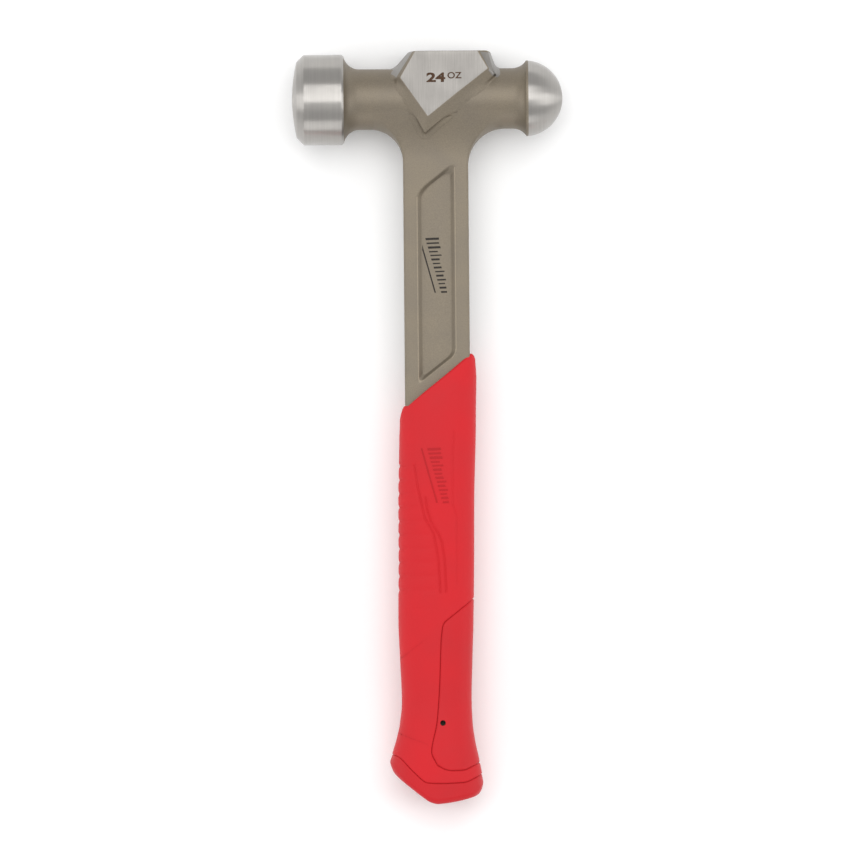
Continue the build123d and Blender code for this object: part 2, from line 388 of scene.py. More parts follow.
def ramp(tree, pattern, low, high):
    """Maps the middle range of a pattern, 0.3 to 0.7, onto low to high."""
    values = {"From Min": 0.3, "From Max": 0.7, "To Min": low, "To Max": high}
    return add_node(tree, "ShaderNodeMapRange", {}, values, {"Value": pattern}).outputs["Result"]


def two_tone(tree, pattern, first, second):
    """One colour that turns to another with a pattern."""
    mix = add_node(tree, "ShaderNodeMix", {"data_type": "RGBA"}, {}, {0: ramp(tree, pattern, 0, 1)})
    set_sockets(mix, {6: first, 7: second})
    return mix.outputs[2]


def finish_shader(tree, shader, tone, rough, grain, height_mm):
    """Links a base colour, a roughness where it varies, and a bump whose grain is
    height_mm deep."""
    tree.links.new(tone, shader.inputs["Base Color"])
    if rough is not None:
        tree.links.new(rough, shader.inputs["Roughness"])
    values = {"Strength": 1.0, "Distance": height_mm / 1000}
    bump = add_node(tree, "ShaderNodeBump", {}, values, {"Height": grain})
    tree.links.new(bump.outputs["Normal"], shader.inputs["Normal"])


def champagne_coat(name, colours, bright):
    """Metallic powder coat, sprayed over shot-blasted forged steel and baked: a soft
    sheen with no mirror image, fine flake grain and slow changes of tone. A bright
    factor above 1 gives a lighter copy that paints a highlight along the pocket's rims."""
    material, tree, shader, place = new_material(name)
    # Flake and blast grain are 0.05 to 0.1 mm; drawn at 0.45 mm so that they show.
    grain = noise(tree, place, 0.45, 3.0)
    cloud = noise(tree, place, 14.0, 3.0)
    dark, light = shade(colours.coat, 0.86 * bright), shade(colours.coat, 1.12 * bright)
    links = {6: two_tone(tree, grain, dark, light)}
    links[7] = two_tone(tree, cloud, (0.95, 0.95, 0.96, 1), (1.04, 1.03, 1.0, 1))
    settings = {"data_type": "RGBA", "blend_type": "MULTIPLY"}
    tone = add_node(tree, "ShaderNodeMix", settings, {0: 1.0}, links).outputs[2]
    shader.inputs["Metallic"].default_value = 0.5
    finish_shader(tree, shader, tone, ramp(tree, grain, 0.44, 0.55), grain, 0.02)
    return material


def ring_direction(tree):
    """Direction round the head's axis: the axis crossed with the way out from it."""
    out = vector_math(tree, "SUBTRACT", {1: tuple(FORGING_ZERO / 1000)}, {0: object_place(tree)})
    return vector_math(tree, "CROSS_PRODUCT", {0: (1.0, 0.0, 0.0)}, {1: out})


def turned_steel(colours):
    """Carbon steel turned on a lathe and polished: a bright metal whose fine rings run
    round the head's axis and stretch highlights along it."""
    material, tree, shader, place = new_material("turned_polished_carbon_steel")
    # Tool marks are 0.1 mm apart; drawn at 0.5 mm so that they show.
    rings = noise(tree, place, 0.5, 3.0, (1.0, 60.0, 60.0))
    smear = noise(tree, place, 6.0, 2.0)
    tone = two_tone(tree, rings, shade(colours.turned, 0.93), shade(colours.turned, 1.05))
    # The tangent runs round the rings, and a quarter turn stretches light along the axis.
    set_sockets(shader, {"Metallic": 1.0, "Anisotropic": 0.93, "Anisotropic Rotation": 0.25})
    tree.links.new(ring_direction(tree), shader.inputs["Tangent"])
    finish_shader(tree, shader, tone, ramp(tree, smear, 0.34, 0.40), rings, 0.004)
    return material


def ground_steel(colours):
    """Carbon steel ground flat on a belt: a pale satin metal with fine straight
    scratches that lie along the handle."""
    material, tree, shader, place = new_material("belt_ground_carbon_steel")
    # Belt scratches are 0.05 mm apart; drawn at 0.35 mm so that they show.
    scratch = noise(tree, place, 0.35, 3.0, (1.0, 40.0, 1.0))
    patch = noise(tree, place, 9.0, 2.0)
    tone = two_tone(tree, scratch, shade(colours.ground, 0.9), shade(colours.ground, 1.06))
    shader.inputs["Metallic"].default_value = 1.0
    finish_shader(tree, shader, tone, ramp(tree, patch, 0.36, 0.46), scratch, 0.006)
    return material


def matt_mark(name, base, roughness):
    """Ink, etched oxide or butyl rubber: a dark matt film that takes on the grain of
    what is under it. The pin hole's wall takes it too, as painted shade."""
    material, tree, shader, place = new_material(name)
    # Worn spots of the film, 0.6 mm across.
    wear = noise(tree, place, 0.6, 3.0)
    tone = two_tone(tree, wear, shade(base, 0.7), shade(base, 1.7))
    set_sockets(shader, {"Roughness": roughness, "Specular IOR Level": 0.2})
    finish_shader(tree, shader, tone, None, wear, 0.01)
    return material


def moulded_red(name, base, roughness, grain_mm, grain_height, sheen):
    """Injection-moulded red polymer: even colour from the pigment, a soft skin of
    spark-eroded grain from the mould, and slightly duller patches from handling."""
    material, tree, shader, place = new_material(name)
    grain = noise(tree, place, grain_mm, 2.0)
    cloud = noise(tree, place, 22.0, 3.0)
    tone = two_tone(tree, cloud, shade(base, 0.95), shade(base, 1.04))
    set_sockets(shader, {"IOR": 1.5, "Specular IOR Level": 0.25})
    set_sockets(shader, {"Sheen Weight": sheen, "Sheen Roughness": 0.5})
    rough = ramp(tree, cloud, roughness - 0.05, roughness + 0.05)
    finish_shader(tree, shader, tone, rough, grain, grain_height)
    return material


def pale_floor(colours):
    """Painted studio board: a plain matt white with a trace of roller texture."""
    material, tree, shader, place = new_material("painted_studio_board")
    # Roller stipple is about 3 mm across.
    stipple = noise(tree, place, 3.0, 2.0)
    tone = two_tone(tree, stipple, shade(colours.floor, 0.995), shade(colours.floor, 1.0))
    tree.links.new(tone, shader.inputs["Base Color"])
    set_sockets(shader, {"Roughness": 0.9, "Specular IOR Level": 0.2})
    return material


# ---------------------------------------------------------------- steel forging

# The fourth finish is a lighter copy of the coat that paints a highlight along the pocket's rims.
COAT, TURNED, GROUND, PAINTED_HIGHLIGHT = 0, 1, 2, 3
HIGHLIGHT_LINE_WIDTH = 0.45  # width of the highlight painted along the pocket's rim
POLL_BACK = 39.5
BALL_REACH = 55.1
BALL_EDGE = 1.6  # turned surface beyond the ball's widest circle
BALL_SKIRT = 0.9  # forged cylinder behind it
BACK_CHAMFER = 0.8
CROWN_RADIUS = 71.0
FACE_RIM = 16.4
FLARE = 7.0
RAMP_START = 26.0
POLL_THROAT = 14.1
BALL_THROAT = 16.0
SUNK = 0.03  # how far the throats and the ramp start inside the necks
SWEEP = 2.2  # fillet where the block meets the necks and the ramp
BEVEL_DROP = 2.2
EDGE_ROUND = 1.1  # along the shank's edges
TANG_HALF_WIDTH = 8.5
TANG_HALF_THICK = 4.5
TANG_OFFSET = -1.5  # tang's centre line, towards the poll's side
SLANT = math.tan(math.radians(38.0))
SLANT_COS = math.cos(math.radians(38.0))
POCKET_TOP = 33.8
POCKET_END = 116.8
POCKET_HALF_WIDTH = 8.2

# Corners of the cheek block: at the ground pad, at the foot of its bevel and at the mid
# plane, from the top at the poll's side, round by the bottom.
PAD = [(-8.7, 20.6), (-15.2, 9.2), (-3.3, -7.8), (23.1, 12.9), (18.6, 20.6)]
BEVEL = [(-9.5, 20.6), (-17.2, 8.4), (-4.6, -14.9), (25.8, 9.9), (22.9, 20.6)]
ROOT = [(-11.2, 20.6), (-19.3, 11.3), (-5.0, -16.2), (27.2, 11.2), (23.8, 20.6)]


def head_profile(poll_radius, neck_radius, ball_radius):
    """Half outline of the turned head: (x, radius) along its axis. The crown is
    x = sqrt-arc of the crown's radius, the flares are quarter-circle fillets out of the
    necks, and the ball is a circle."""
    rim_x = -POLL_REACH + CROWN_RADIUS - math.sqrt(CROWN_RADIUS**2 - FACE_RIM**2)
    r = np.linspace(0, FACE_RIM - 0.5, 14)
    crown_x = -POLL_REACH + CROWN_RADIUS - np.sqrt(CROWN_RADIUS**2 - r**2)
    back_radius = poll_radius - BACK_CHAMFER
    corners = [
        (crown_x[-1], r[-1]),
        (rim_x, FACE_RIM),
        (rim_x + poll_radius - FACE_RIM, poll_radius),
        (-POLL_BACK - BACK_CHAMFER, poll_radius),
        (-POLL_BACK, back_radius),
        (-POLL_BACK + 1.0, back_radius - 1.2),
    ]
    rounded = cut_corners(corners, [0.01, 0.4, 0.5, 0.3, 0.12, 0.01], 5, False)
    flare_y = neck_radius + FLARE
    drop = flare_y - back_radius
    flare_x = -POLL_BACK + math.sqrt(FLARE**2 - drop**2)
    start = 180 + math.degrees(math.asin(drop / FLARE))
    poll_flare = arc((flare_x, flare_y), FLARE, start + 1, 270, 18)
    ball_x = BALL_REACH - ball_radius
    skirt_r = math.sqrt(ball_radius**2 - BALL_EDGE**2)
    skirt_x = ball_x + BALL_EDGE - BALL_SKIRT
    skirt_drop = flare_y - skirt_r
    ball_flare_x = skirt_x - math.sqrt(FLARE**2 - skirt_drop**2)
    end = 360 - math.degrees(math.asin(skirt_drop / FLARE))
    ball_flare = arc((ball_flare_x, flare_y), FLARE, 270, end, 16)
    edge_deg = math.degrees(math.acos(BALL_EDGE / ball_radius))
    ball = arc((ball_x, 0), ball_radius, edge_deg, 0, 30)
    neck = np.stack([np.linspace(flare_x, ball_flare_x, 26)[1:-1], np.full(24, neck_radius)], -1)
    crown = np.stack([crown_x[:-1], r[:-1]], -1)
    poll = rounded[1:5].reshape(-1, 2)
    return np.concatenate([crown, poll, poll_flare, neck, ball_flare, ball]), ball_x + BALL_EDGE


def head_shell(poll_radius, neck_radius, ball_radius):
    """The profile turned about the head's axis: y = r sin(a), z = r cos(a)."""
    profile, ball_edge = head_profile(poll_radius, neck_radius, ball_radius)
    angle = np.linspace(0, 2 * math.pi, 160, endpoint=False)
    x = np.repeat(profile[:, :1], len(angle), 1)
    y = profile[:, 1:] * np.sin(angle)
    z = profile[:, 1:] * np.cos(angle)
    middle = (profile[:-1, 0] + profile[1:, 0]) / 2
    turned = (middle < -POLL_BACK) | (middle > ball_edge)
    return shell(np.stack([x, y, z], -1), np.where(turned, TURNED, COAT))


def ramp_height(y, neck_radius, half_thick):
    """Half thickness of the shank at y: flat below the ramp, then an arc that touches
    the neck's circle, then just inside that circle."""
    root = neck_radius - SUNK
    step = root - half_thick
    radius = (RAMP_START**2 / step - (root + half_thick)) / 2
    touch = -RAMP_START * root / (root + radius)
    under = np.clip(radius**2 - (y + RAMP_START) ** 2, 0, None)
    arc_height = half_thick + radius - np.sqrt(under)
    inside = np.sqrt(np.clip(root**2 - y**2, 0, None))
    return np.where(y < -RAMP_START, half_thick, np.where(y < touch, arc_height, inside))


def perimeter(corners, cut):
    """Points round a five-sided outline: each corner rounded, each side divided
    evenly."""
    curves = cut_corners(corners, cut, 7, True)
    start = curves[:, -1]
    end = np.roll(curves[:, 0], -1, 0)
    t = np.linspace(0, 1, 20)[1:-1, None, None]
    sides = blend(start, end, t).transpose(1, 0, 2)
    return np.concatenate([curves, sides], 1).reshape(-1, 2)


def block_gap(points, neck_radius, half_thick):
    """How far points stand above the neck's circle or the shank's ramp, whichever is
    nearer, and where that is the ramp."""
    y, z = points[..., 1], points[..., 2]
    above_neck = np.hypot(y, z) - neck_radius
    # The ramp counts only below the head's axis, so it is set far off above that.
    above_ramp = np.where(y < -4, z - ramp_height(y, neck_radius, half_thick), 99.0)
    return np.minimum(above_neck, above_ramp), above_ramp < above_neck


def block_shell(neck_radius, half_thick, pad_half):
    """Central block: outlines at the pad, at the foot of its bevel and at the mid plane,
    joined by straight draft, edges rounded by quadratic curves, and the draft swept out
    by a fillet where it runs into the necks and the shank."""
    pad = perimeter(PAD, 0.5)
    bevel = perimeter(BEVEL, 0.9)
    root = perimeter(ROOT, 1.2)
    flat = len(pad)

    def at_height(outline, z):
        return np.hstack([np.broadcast_to(outline, (flat, 2)), np.full((flat, 1), z)])

    def towards(a, b, reach):
        return a + reach * unit(b - a)

    p0, p1 = at_height((4.0, 7.5), pad_half), at_height(pad, pad_half)
    p2, p3 = at_height(bevel, pad_half - BEVEL_DROP), at_height(root, 0.0)
    t = np.linspace(0, 1, 8)[:, None, None]
    pad_edge = towards(p1, p0, 0.25)
    face = blend(p0, pad_edge, t)
    edge = bend(pad_edge, p1, towards(p1, p2, 0.25), 5)
    slope = blend(edge[-1], towards(p2, p1, 0.5), t[1:-1])
    foot = bend(towards(p2, p1, 0.5), p2, towards(p2, p3, 0.8), 6)
    # Rows of the wall crowd where it meets the neck or the ramp, as a fillet needs. A
    # column that never comes near has them at its end.
    t = np.linspace(0, 1, 241)
    gap = block_gap(blend(foot[-1], p3, t[:, None, None]), neck_radius, half_thick)[0]
    near = np.where(gap.min(0) < SWEEP, t[np.argmax(gap < SWEEP, 0)], 0.9)
    meet = np.where(gap.min(0) < 0, t[np.argmax(gap < 0, 0)], 1.0)
    even = np.linspace(0, 1, 7)[1:, None]
    turn = np.sin(np.linspace(0, math.pi / 2, 13))[1:, None]
    t = np.concatenate([even * near, near + turn * (meet - near), meet + even * (1 - meet)])
    wall = blend(foot[-1], p3, t[..., None])
    half = np.concatenate([face, edge[1:], slope, foot, wall])

    ahead = np.roll(root, -1, 0) - np.roll(root, 1, 0)
    outward = unit(np.stack([ahead[:, 1], -ahead[:, 0]], -1))
    outward *= np.sign(np.sum(outward * (root - root.mean(0)), 1, keepdims=True))
    y, z = half[..., 1], half[..., 2]
    gap, on_ramp = block_gap(half, neck_radius, half_thick)
    flare = round_over(gap, SWEEP)
    flare[: len(face) + 2] = 0
    # The sweep runs along the surface that it meets, so it leaves out the part of the
    # outward direction that points straight away from that surface.
    radial = np.stack([np.zeros_like(y), y, z], -1) / np.hypot(y, z)[..., None]
    away = np.where(on_ramp[..., None], (0.0, 0.0, 1.0), radial)
    out = np.concatenate([outward, np.zeros((flat, 1))], 1)[None]
    out = out - np.sum(out * away, -1, keepdims=True) * away
    half = half + flare[..., None] * out
    mirrored = half[::-1][1:] * (1, 1, -1)
    # The pad is ground, and so are the sides under the block's top. Coat is left on the
    # narrow bevel at the poll's side, and in a line along the pad at the ball's side.
    to_edge, to_bevel = len(face) - 1, len(face) + len(edge) - 2
    to_wall = to_bevel + len(slope) + len(foot) - 2
    side = np.arange(flat) // (flat // 5)
    poll_side, ball_side, top_side = side == 0, side == 3, side == 4
    finish = np.full((len(half) - 1, flat), COAT)
    finish[:to_edge] = GROUND
    finish[to_wall:, poll_side] = GROUND
    finish[to_bevel + 1 :, ball_side] = GROUND
    finish[to_edge : to_edge + 2, top_side] = GROUND
    return shell(np.concatenate([half, mirrored]), np.concatenate([finish, finish[::-1]]))


def throat_reach(rho, side, half_width, neck_radius):
    """How far the shank's side stands from the centre line at a distance rho from the
    head's axis: the half width, or the arc of the throat nearer the head."""
    radius = POLL_THROAT if side < 0 else BALL_THROAT
    root = neck_radius - SUNK
    drop = np.clip(root + radius - rho, 0, radius)
    return half_width + radius - np.sqrt(np.clip(radius**2 - drop**2, 0, None))


def pocket_reach(x, y):
    """Distances in from the slanted pocket's sides, its top and its lower end."""
    side = POCKET_HALF_WIDTH - np.abs(x)
    top = (-POCKET_TOP + SLANT * x - y) * SLANT_COS
    return side, top, (y + POCKET_END - SLANT * x) * SLANT_COS


def pocket_cut(x, y, depth):
    """Depth of the pocket: distance in from its sides, with steeper end walls, corners
    and edges softened, and no deeper than its floor."""
    side, top, end = pocket_reach(x, y)
    inside = smooth_min(smooth_min(side, 1.7 * top, 4.5), 1.5 * end, 2.6)
    floor = smooth_min(inside, depth, 0.3)
    return -smooth_min(-floor, 0.0, 0.6)


def shank_shell(neck_radius, half_width, half_thick, pocket_depth):
    """Shank and tang: sections on slanted lines y = c + slope(c) x. A section's faces
    lie at the ramp's height less the pocket's depth, and its sides at the throat's
    reach, with the long edges rounded."""
    # Sections crowd at the pocket's two ends.
    stops, counts = (-0.5, -26.5, -39.5, -111.5, -118.5, -150.0), (50, 60, 70, 35, 20)
    runs = [np.linspace(a, b, n)[:-1] for a, b, n in zip(stops, stops[1:], counts)]
    c = np.concatenate(runs + [np.linspace(-150.0, -276.0, 12)])[:, None]
    slope = SLANT * np.interp(-c, [6, 30, 124, 149], [0, 1, 1, 0])
    tang = np.interp(-c, [136, 150], [0.0, 1.0])
    reach = half_width + (TANG_HALF_WIDTH - half_width) * tang
    shift = TANG_OFFSET * tang
    thick_change = (TANG_HALF_THICK - half_thick) * tang
    # Columns crowd at the pocket's side walls.
    fine = np.concatenate([np.arange(-10, -8.6, 0.7), np.arange(-8.6, -5.4, 0.2)])
    inner = np.concatenate([fine, np.arange(-5.4, 5.41, 0.9), -fine[::-1]])[None, :]
    t = np.linspace(0, 1, 7)[None, :]
    narrow = 1 - 0.45 * tang  # draws the columns in where the tang is narrower

    def side_columns(side):
        """From the middle of a side wall round its rounded edge to the face."""
        y = c + slope * side * reach
        p = ramp_height(y, neck_radius, half_thick) + thick_change
        wall = np.linspace(0, 1, 8)[None, :-1] * (p - EDGE_ROUND)
        z = np.concatenate([wall, p - EDGE_ROUND * (1 - t) ** 2], 1)
        inset = np.concatenate([np.zeros((1, 7)), EDGE_ROUND * t**2], 1)
        rho = np.hypot(y, z)
        x = throat_reach(rho, side, reach, neck_radius) - inset
        face_x = x[:, -1:]
        fill = np.linspace(1, 0, 8)[None, 1:-1]
        outer = 10 * narrow + (face_x - 10 * narrow) * fill
        return side * x + shift, z, side * outer + shift

    right_x, right_z, right_fill = side_columns(1)
    left_x, left_z, left_fill = side_columns(-1)
    middle = inner[:, ::-1] * narrow + shift
    face_x = np.concatenate([right_fill, middle, left_fill[:, ::-1]], 1)
    face_y = c + slope * np.clip(face_x, -half_width, half_width)
    face_z = ramp_height(face_y, neck_radius, half_thick) + thick_change
    face_z = face_z - pocket_cut(face_x, face_y, pocket_depth)
    half_x = np.concatenate([right_x, face_x, left_x[:, ::-1]], 1)
    half_z = np.concatenate([right_z, face_z, left_z[:, ::-1]], 1)
    half_y = c + slope * np.clip(half_x, -half_width, half_width)
    rings = close_ends(both_faces(np.stack([half_x, half_y, half_z], -1)))

    # A highlight is painted along the pocket's long rims and its lower rim: those cells take a lighter
    # copy of the coat.
    def cell_middles(grid):
        return (grid[:-1, :-1] + grid[1:, :-1] + grid[:-1, 1:] + grid[1:, 1:]) / 4

    to_side, to_top, to_end = pocket_reach(cell_middles(half_x), cell_middles(half_y))
    rim = smooth_min(to_side, to_end, 2.6)
    painted_rim_highlight = (np.abs(rim) < HIGHLIGHT_LINE_WIDTH / 2) & (to_top > 1.8)
    half_finish = np.where(painted_rim_highlight, PAINTED_HIGHLIGHT, COAT)
    finish = np.concatenate([half_finish, half_finish[:, ::-1]], 1)
    finish = np.pad(finish, ((1, 1), (0, 0)))
    return shell(rings, finish)


# ---------------------------------------------------------------- grip

GRIP_START = 122.0
ROUNDNESS = 3.0  # a grip section's power n, in |x/a|^n + |z/b|^n = 1
TOP_RIM = 1.2  # edge radius at the top of the soft skin
SHANK_GAP = 2.95  # thickness of the soft skin
WINDOW_TOP = 227.7
RIB_START = -158.6

# Distance down the handle, poll-side reach, ball-side reach, half thickness.
GRIP_OUTLINE = np.array(
    [
        (105.0, -16.6, 16.9, 9.7),
        (115.0, -16.8, 16.9, 9.9),
        (136.4, -17.0, 16.5, 10.8),
        (143.0, -16.7, 16.4, 11.0),
        (173.0, -17.4, 15.5, 12.0),
        (199.0, -17.5, 15.2, 12.4),
        (225.0, -17.8, 14.7, 12.5),
        (242.5, -17.2, 14.1, 12.4),
        (260.0, -16.6, 13.6, 12.25),
        (270.0, -17.6, 14.0, 12.7),
        (277.0, -19.2, 14.9, 13.3),
        (285.7, -21.7, 16.7, 14.1),
        (293.5, -22.6, 18.0, 14.3),
        (310.0, -23.0, 18.4, 14.3),
    ]
)
CURVE_POLL = [
    (-10.8, -100.0), (-10.4, -158.4), (-9.1, -167.1), (-7.4, -174.6), (-6.0, -181.1),
    (-2.3, -187.4), (-0.3, -198.4), (0.5, -212.9), (1.3, -226.7), (0.6, -233.9),
    (-0.1, -251.3), (-1.4, -268.6), (-3.5, -278.5), (-4.4, -283.1), (-5.0, -287.0),
    (-6.0, -300.0),
]
CURVE_BALL = [
    (-5.9, -100.0), (-5.7, -165.0), (-5.6, -172.4), (-4.8, -178.1), (-2.8, -183.9),
    (0.0, -188.0), (1.4, -192.0), (2.5, -199.6), (3.0, -212.9), (4.6, -226.7),
    (4.5, -250.0), (2.5, -283.0), (2.0, -300.0),
]
EDGE_LINE = [
    (8.2, -100.0), (7.1, -143.9), (6.4, -153.3), (6.2, -175.2), (7.9, -181.1),
    (7.7, -209.4), (9.0, -226.0), (8.8, -260.0), (8.5, -300.0),
]
WINDOW_END = [
    (-23.0, -272.5), (-12.0, -277.0), (-6.0, -279.3), (-4.4, -280.6), (-3.9, -282.6),
    (-3.3, -284.8), (-2.4, -286.6), (-0.9, -288.2), (1.2, -289.3), (5.1, -290.1),
    (10.0, -289.9), (13.8, -288.4), (18.6, -286.0),
]
CAP_SEAM = [
    (-23.0, -282.5), (-18.6, -283.9), (-11.7, -290.6), (-5.6, -295.3), (0.0, -295.6),
    (10.0, -295.2), (15.8, -292.9), (18.6, -291.4),
]
BUTT_LINE = [
    (-21.9, -288.4), (-20.4, -290.8), (-18.2, -293.1), (-11.7, -298.5), (-7.2, -302.0),
    (-4.6, -303.7), (-1.3, -304.5), (2.0, -304.2), (5.5, -303.7), (12.5, -302.1),
    (15.4, -301.0), (17.2, -299.6), (18.0, -298.4), (18.3, -297.6),
]
CAP_CENTRE = -1.8
CAP_HALF = 20.1
CAP_THICK = 14.3
CAP_SUNK = 2.2  # the cap's hidden top, in from its side
BUTT_EDGE = 2.4  # edge radius at the butt


def across(path, x):
    """A line given as (x, y) points, read at x."""
    path = np.asarray(path)
    return smooth_curve(x, path[:, 0], path[:, 1])


def along(path, y):
    """A line given as (x, y) points running down the handle, read at y."""
    path = np.asarray(path)
    return smooth_curve(-y, -path[:, 1], path[:, 0])


def top_edge(x):
    """Grip's slanted top: a straight slope that levels out beside the shank and bends
    down at the corners."""
    bend_right = np.clip(x - 15.9, 0, None)
    bend_left = np.clip(-x - 15.0, 0, None)
    slope = SLANT * np.clip(x, -13.4, 15.2)
    return -GRIP_START + slope - 1.4 * bend_right**2 - 1.4 * bend_left**2


def window_top(x):
    """Upper end of the palm panel, parallel to the grip's top."""
    return -WINDOW_TOP + SLANT * x


def window_end(x):
    return across(WINDOW_END, x)


def cap_line(x):
    return across(CAP_SEAM, x)


ROW_LINES = (top_edge, window_top, window_end, cap_line)


def squircle(angle):
    """cos(a) and sin(a), each divided by (|cos a|^n + |sin a|^n)^(1/n)."""
    across, up = np.cos(angle), np.sin(angle)
    size = (np.abs(across) ** ROUNDNESS + np.abs(up) ** ROUNDNESS) ** (1 / ROUNDNESS)
    return across / size, up / size


def squircle_normal(reach, rise, half, thick):
    """Outward direction of a section: the slopes of |x/a|^n + |z/b|^n, at length 1."""
    nx = np.sign(reach) * np.abs(reach) ** (ROUNDNESS - 1) / half
    nz = np.abs(rise) ** (ROUNDNESS - 1) / thick
    size = np.hypot(nx, nz)
    return nx / size, nz / size


def grip_size(y):
    """Centre, half width and half thickness of the grip's section at y."""
    down, *reaches = GRIP_OUTLINE.T
    left, right, thick = (smooth_curve(-y, down, reach) for reach in reaches)
    return (left + right) / 2, (right - left) / 2, thick


ANGLE_TABLE = np.linspace(0, math.pi, 4001)
REACH_TABLE = squircle(ANGLE_TABLE)[0]


def angle_at(share):
    """The angle whose squircle reach is the given share of the half width."""
    return np.interp(-share, -REACH_TABLE, ANGLE_TABLE)


# Rows and columns on both sides of a seam or groove, closer together near it.
SEAM_OFFSETS = np.array([0.8, 0.56, 0.38, 0.24, 0.12, 0.04])
SEAM_OFFSETS = np.concatenate([SEAM_OFFSETS, -SEAM_OFFSETS[::-1]])


def grip_columns():
    """Columns of half a section, from the ball's edge to the poll's edge. Each stands
    between two guide lines: (first guide, its offset, second guide, its offset, share).
    They crowd at the curved grooves and at the panel's seam."""
    spans = [(0, 0.0, 1, 0.8, 18), (1, -0.8, 2, 0.8, 9), (2, -0.8, 3, 0.8, 2), (3, -0.8, 4, 0.0, 28)]
    columns = []
    for first, first_off, second, second_off, count in spans:
        share = np.linspace(0, 1, count + 1)
        share = share[0 if first == 0 else 1 : None if second == 4 else -1]
        columns += [(first, first_off, second, second_off, part) for part in share]
        if second != 4:
            columns += [(second, off, second, off, 0.0) for off in SEAM_OFFSETS]
    return np.array(columns)


def grip_surface(rows, columns):
    """Nominal surface of the grip. A row stands between two of the guide lines across
    the handle: y = (1 - s) line_a(x) + s line_b(x) + offset. A point's x follows from
    its angle and the section at its y, so both are solved together by repeating."""
    line, share, offset = (rows[:, i : i + 1] for i in range(3))
    line = line.astype(int)
    first, first_off, second, second_off, part = columns.T
    first, second = first.astype(int), second.astype(int)

    def row_y(x):
        lines = np.stack([f(x) for f in ROW_LINES])
        upper = np.take_along_axis(lines, np.broadcast_to(line, x.shape)[None], 0)[0]
        lower_line = np.minimum(line + 1, len(ROW_LINES) - 1)
        lower = np.take_along_axis(lines, np.broadcast_to(lower_line, x.shape)[None], 0)[0]
        return (1 - share) * upper + share * lower + offset

    shape = (len(rows), len(columns))
    x = np.zeros(shape)
    for _ in range(9):
        y = row_y(x)
        centre, half, thick = grip_size(y)
        curves = [along(path, y) for path in (EDGE_LINE, CURVE_BALL, CURVE_POLL)]
        guides = np.stack([centre + half, *curves, centre - half])
        pick = np.arange(shape[1])
        from_x = guides[first, :, pick].T + first_off
        to_x = guides[second, :, pick].T + second_off
        start, end = angle_at((from_x - centre) / half), angle_at((to_x - centre) / half)
        angle = blend(start, end, part)
        reach, rise = squircle(angle)
        x = centre + half * reach
    return x, y, thick * rise, *squircle_normal(reach, rise, half, thick)


def sink(surface, depth):
    """The surface moved inwards along its normal, as rings round both faces."""
    x, y, z, nx, nz = surface
    return both_faces(np.stack([x - nx * depth, y, z - nz * depth], -1))


def inside_window(x, y):
    """Distance in from the palm panel's edge, negative outside it."""
    upper = (window_top(x) - y) * SLANT_COS
    slope = (window_end(x + 0.05) - window_end(x - 0.05)) / 0.1
    lower = (y - window_end(x)) / np.hypot(1, slope)
    side = x - along(CURVE_POLL, y)
    return smooth_min(smooth_min(upper, side, 1.6), lower, 1.0)


def overmould_depth(x, y, sizes):
    """Depth of everything moulded into the soft skin: grooves follow the distance to
    their centre lines, ribs repeat down the poll's side, the collar tapers to the top,
    and the skin rounds off and drops away at the panel's edge."""
    deep = sizes.groove_depth
    cut_poll = groove(line_distance(x, y, CURVE_POLL[1:8]), deep, 0.55)
    cut_ball = groove(line_distance(x, y, CURVE_BALL[2:9]), deep, 0.55)
    edge = groove(line_distance(x, y, EDGE_LINE[1:6]), 0.6 * deep, 0.5)
    tick = groove(line_distance(x, y, [(-11.0, -220.0), (-4.5, -220.0)]), 0.3 * deep, 0.4)
    count = (RIB_START - y) / sizes.rib_pitch
    nearest = np.clip(np.round(count), 0, 9)
    rib = groove((count - nearest) * sizes.rib_pitch, sizes.rib_depth, 0.95)
    on_edge = smooth_step((-11.8 - x) / 3.0)
    on_cheek = 0.5 * smooth_step((along(CURVE_POLL, y) - 0.9 - x) / 1.5)
    below_top = top_edge(x) - y
    collar = 0.55 * np.clip(1 - below_top / 9.0, 0, 1)
    total = cut_poll + cut_ball + edge + tick + rib * np.maximum(on_edge, on_cheek) + collar
    inside = inside_window(x, y)
    rounding = round_over(-inside, sizes.seam_round)
    open_depth = (SHANK_GAP - 0.1) * smooth_step(inside / 0.08)
    return np.maximum(total + rounding, open_depth)


def row_set(parts):
    """Rows from (line, shares, offsets) parts, in order."""
    blocks = []
    for line, shares, offsets in parts:
        shares, offsets = np.broadcast_arrays(np.atleast_1d(shares), np.atleast_1d(offsets))
        blocks.append(np.stack([np.full(len(shares), float(line)), shares, offsets], -1))
    return np.concatenate(blocks)


def overmould_shell(sizes):
    """The soft skin as one closed sleeve: rounded top rim, detailed outside, rounded
    lower rim, and a plain inner wall that goes back up to the top."""
    columns = grip_columns()
    radius = sizes.seam_round
    phi = np.linspace(math.pi / 2, 0, 7)
    outer = row_set(
        [
            (0, 0.0, -TOP_RIM * (1 - np.sin(phi))),
            (0, np.linspace(0, 1, 246)[4:-2], 0.0),
            (1, 0.0, SEAM_OFFSETS),
            (1, np.linspace(0, 1, 128)[2:-2], 0.0),
            (2, 0.0, SEAM_OFFSETS),
            (2, np.linspace(0, 1, 24)[5:-4], 0.0),
            (3, 0.0, radius * (1 - np.sin(phi[::-1]))),
        ]
    )
    surface = grip_surface(outer, columns)
    depth = overmould_depth(surface[0], surface[1], sizes)
    depth[:7] = depth[6] + (TOP_RIM * (1 - np.cos(phi)))[:, None]
    bottom = radius * (1 - np.cos(phi[::-1]))
    depth[-7:] = np.maximum(depth[-8], 0) + bottom[:, None]
    back_up = [(3, 0.0), (2, 0.5), (1, np.linspace(0.95, 0, 14)), (0, np.linspace(0.95, 0.0, 16))]
    wall = grip_surface(row_set([(line, shares, 0.0) for line, shares in back_up]), columns)
    rings = np.concatenate([sink(surface, depth), sink(wall, SHANK_GAP)])
    return shell(rings, wrap_rows=True)


